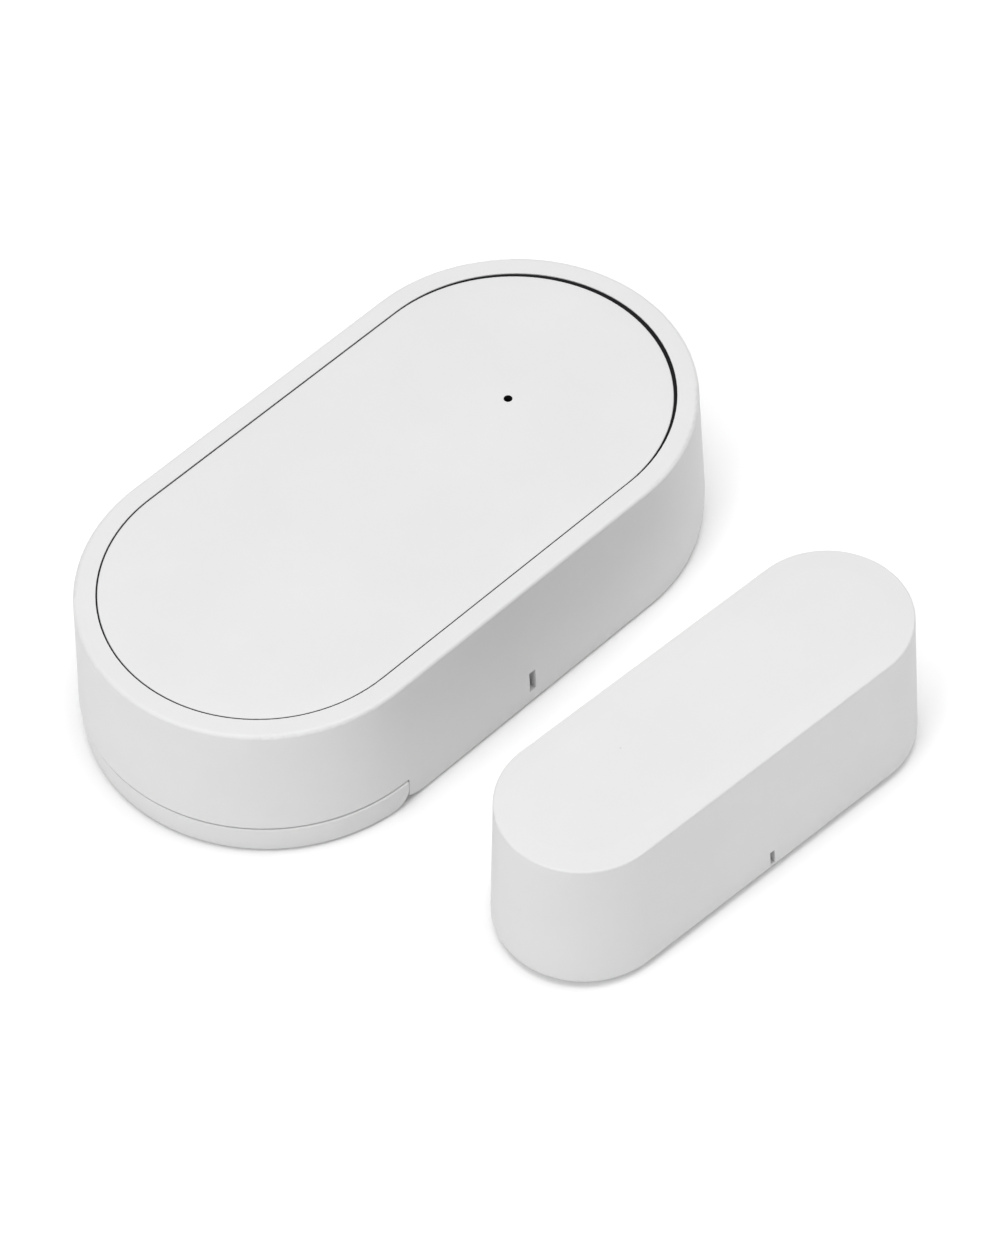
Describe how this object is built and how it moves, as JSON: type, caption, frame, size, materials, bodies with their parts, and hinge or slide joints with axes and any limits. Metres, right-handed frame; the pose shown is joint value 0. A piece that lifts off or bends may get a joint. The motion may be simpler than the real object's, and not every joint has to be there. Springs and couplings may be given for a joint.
{
  "type": "door contact sensor",
  "caption": "White stadium-shaped door contact sensor with inlaid top panel, sliding rear cover with end lip, and a separate slimmer magnet unit.",
  "frame": {"origin": "centre of the underside of the sensor case's adhesive pad, the face that sticks to the door frame", "axes": "+Z out of the door frame towards the top panel; +X along the case, from the lipped end to the end with the indicator pinhole; the magnet unit stands on the -Y side"},
  "size_m": [0.071, 0.0689, 0.0172],
  "materials": {
    "case_plastic": "satin",
    "panel_plastic": "satin",
    "gasket_rubber": "matte",
    "cover_plastic": "satin",
    "magnet_plastic": "satin",
    "magnet_back_plastic": "satin",
    "foam_tape": "matte",
    "shim_foam": "matte",
    "pipe_plastic": "gloss",
    "board_laminate": "satin",
    "lamp_body": "gloss",
    "tray_plastic": "matte",
    "contact_steel": "satin",
    "spring_steel": "gloss",
    "cell_steel": "satin",
    "cell_film": "gloss",
    "cell_washer": "matte",
    "screw_steel": "satin",
    "reed_tube": "gloss",
    "reed_metal": "satin",
    "shield_metal": "satin",
    "antenna_ceramic": "matte",
    "crystal_can": "satin",
    "capacitor_sleeve": "gloss",
    "switch_black": "satin",
    "plunger_plastic": "satin",
    "ferrite": "satin",
    "carrier_plastic": "matte"
  },
  "bodies": {
    "base": {"rear_cover": "cover_plastic", "adhesive_pad": "foam_tape"},
    "sensor_front": {"front_shell": "case_plastic", "top_panel": "panel_plastic", "panel_gasket": "gasket_rubber", "light_pipe": "pipe_plastic", "main_board": "board_laminate", "radio_board": "board_laminate", "status_led": "lamp_body", "battery_tray": "tray_plastic", "contact_bridge": "contact_steel", "contact_positive": "contact_steel", "contact_negative": "contact_steel", "spring_near": "spring_steel", "spring_far": "spring_steel", "cell_a_can": "cell_steel", "cell_b_can": "cell_steel", "cell_a_cap": "cell_steel", "cell_b_cap": "cell_steel", "cell_a_wrap": "cell_film", "cell_b_wrap": "cell_film", "cell_a_washer": "cell_washer", "cell_b_washer": "cell_washer", "case_screw_1": "screw_steel", "case_screw_2": "screw_steel", "case_screw_3": "screw_steel", "case_screw_4": "screw_steel", "reed_glass": "reed_tube", "reed_lead_a": "reed_metal", "reed_lead_b": "reed_metal", "radio_shield": "shield_metal", "chip_antenna": "antenna_ceramic", "timing_crystal": "crystal_can", "bulk_capacitor": "capacitor_sleeve", "pairing_switch": "switch_black", "tamper_guide": "switch_black"},
    "pairing_button": {"pairing_plunger": "plunger_plastic"},
    "tamper_button": {"tamper_plunger": "plunger_plastic"},
    "magnet_unit": {"magnet_housing": "magnet_plastic", "magnet_back": "magnet_back_plastic", "bar_magnet": "ferrite", "magnet_carrier": "carrier_plastic", "foam_shim": "shim_foam", "magnet_pad": "foam_tape", "magnet_screw_1": "screw_steel", "magnet_screw_2": "screw_steel"}
  },
  "joints": [
    {"name": "front_slide", "type": "slide", "parent": "base", "child": "sensor_front", "axis": [1, 0, 0], "range_m": [0, 0.072]},
    {"name": "magnet_slide", "type": "slide", "parent": "base", "child": "magnet_unit", "axis": [0, -1, 0], "range_m": [-0.008, 0.06]},
    {"name": "pairing_press", "type": "slide", "parent": "sensor_front", "child": "pairing_button", "axis": [0, 0, 1], "range_m": [0, 0.00025], "stiffness_N_per_m": 1500, "springref_m": -0.0003},
    {"name": "tamper_press", "type": "slide", "parent": "sensor_front", "child": "tamper_button", "axis": [0, 0, 1], "range_m": [0, 0.0008], "stiffness_N_per_m": 200, "springref_m": -0.001}
  ]
}
